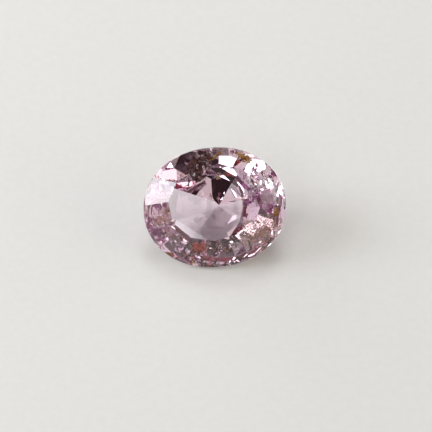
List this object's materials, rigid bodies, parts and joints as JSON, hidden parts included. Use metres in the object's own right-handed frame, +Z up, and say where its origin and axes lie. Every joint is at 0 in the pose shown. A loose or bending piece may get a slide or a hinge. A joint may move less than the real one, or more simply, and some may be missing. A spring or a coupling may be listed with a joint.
{
  "type": "faceted gemstone",
  "caption": "Loose oval-cut gemstone with a flat table, a faceted crown and a faceted pavilion, lying on one pavilion facet.",
  "frame": {"origin": "on the ground, under the middle of the stone's bounding box as it lies", "axes": "+Z up from the ground, -Y the way the table leans, +X to the right and close to the stone's long axis"},
  "size_m": [0.012, 0.0084, 0.0068],
  "materials": {
    "gem": "polished clear pale lilac stone",
    "inclusion": "dull orange-brown stain and fine pale grains inside the stone"
  },
  "bodies": {
    "root": {"kunzite_gem": "gem"}
  },
  "joints": []
}
